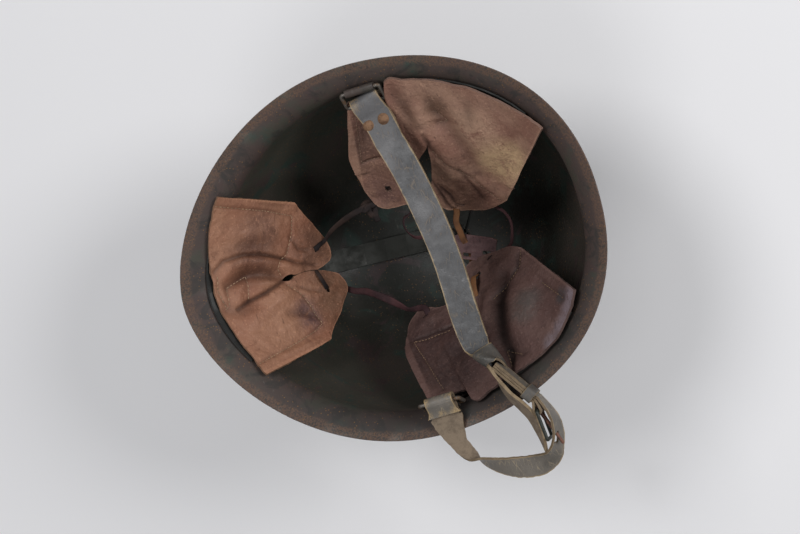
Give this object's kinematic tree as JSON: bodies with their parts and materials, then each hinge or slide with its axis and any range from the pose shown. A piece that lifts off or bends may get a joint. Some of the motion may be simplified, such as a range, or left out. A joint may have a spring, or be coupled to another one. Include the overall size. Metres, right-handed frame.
{
  "type": "military helmet",
  "caption": "Open-crowned steel helmet lying on its crown, with a low flared brim, laced leather liner pads and a buckled leather chin strap on wire rings.",
  "frame": {"origin": "centre of the opening, in the plane of the rim", "axes": "+Z out of the opening, +X to the front of the helmet, +Y to the wearer's right; the helmet lies on its crown with the opening up"},
  "size_m": [0.292, 0.2833, 0.176],
  "materials": {
    "shell_paint": "worn dark olive paint with rust toward the rim",
    "spring_steel": "dull grey spring steel",
    "rivet_paint": "worn dark olive paint",
    "pad_leather_tan": "worn tan leather",
    "pad_leather_pink": "worn pinkish brown leather",
    "pad_leather_dark": "worn dark purplish brown leather",
    "felt": "grey felt",
    "lace_leather": "soft leather thong",
    "bracket_paint": "worn dark olive paint",
    "ring_wire": "rusty wire",
    "strap_leather": "grained grey-black leather with yellow-tan raw edges",
    "strap_rivet_steel": "rusty brown steel",
    "strap_suede": "grey grain side and rough tan flesh side",
    "keeper_leather": "grey-green leather",
    "chape_leather": "grey-tan leather",
    "buckle_paint": "dark worn paint",
    "prong_steel": "reddish brown rusted steel"
  },
  "bodies": {
    "helmet": {"shell": "shell_paint", "carrier_front": "spring_steel", "carrier_left": "spring_steel", "carrier_right": "spring_steel", "crown_rivet": "rivet_paint", "crown_washer": "spring_steel", "pad_front": "pad_leather_tan", "pad_left": "pad_leather_pink", "pad_right": "pad_leather_dark", "cushion_front": "felt", "cushion_left": "felt", "cushion_right": "felt", "liner_lace": "lace_leather", "bracket_left": "bracket_paint", "bracket_right": "bracket_paint", "bracket_rivets": "bracket_paint"},
    "left_ring": {"ring_left": "ring_wire"},
    "right_ring": {"ring_right": "ring_wire"},
    "chin_strap": {"long_strap": "strap_leather", "long_strap_rivets": "strap_rivet_steel", "short_strap": "strap_suede", "keeper_upper": "keeper_leather", "buckle_chape": "chape_leather", "buckle_frame": "buckle_paint"},
    "prong": {"buckle_prong": "prong_steel"},
    "sliding_keeper": {"keeper_lower": "keeper_leather"}
  },
  "joints": [
    {"name": "left_ring_swing", "type": "hinge", "parent": "helmet", "child": "left_ring", "pos_m": [-0.009, -0.10467, -0.005], "axis": [1, 0, 0], "range_deg": [0, 20]},
    {"name": "strap_turn", "type": "hinge", "parent": "left_ring", "child": "chin_strap", "pos_m": [-0.009, -0.09613, -0.01269], "axis": [1, 0, 0], "range_deg": [-21, 0]},
    {"name": "right_ring_swing", "type": "hinge", "parent": "helmet", "child": "right_ring", "pos_m": [-0.009, 0.10467, -0.005], "axis": [1, 0, 0], "range_deg": [-13, 0]},
    {"name": "prong_swing", "type": "hinge", "parent": "chin_strap", "child": "prong", "pos_m": [-0.0715, 0.119, 0.0075], "axis": [0, 0, 1], "range_deg": [-8, 7]},
    {"name": "keeper_slide", "type": "slide", "parent": "chin_strap", "child": "sliding_keeper", "axis": [0.6, -0.8, 0], "range_m": [0, 0.007]}
  ],
  "couplings": [
    {"joint": "strap_turn", "follows": "left_ring_swing", "ratio": -1.039},
    {"joint": "right_ring_swing", "follows": "left_ring_swing", "ratio": -0.635}
  ]
}
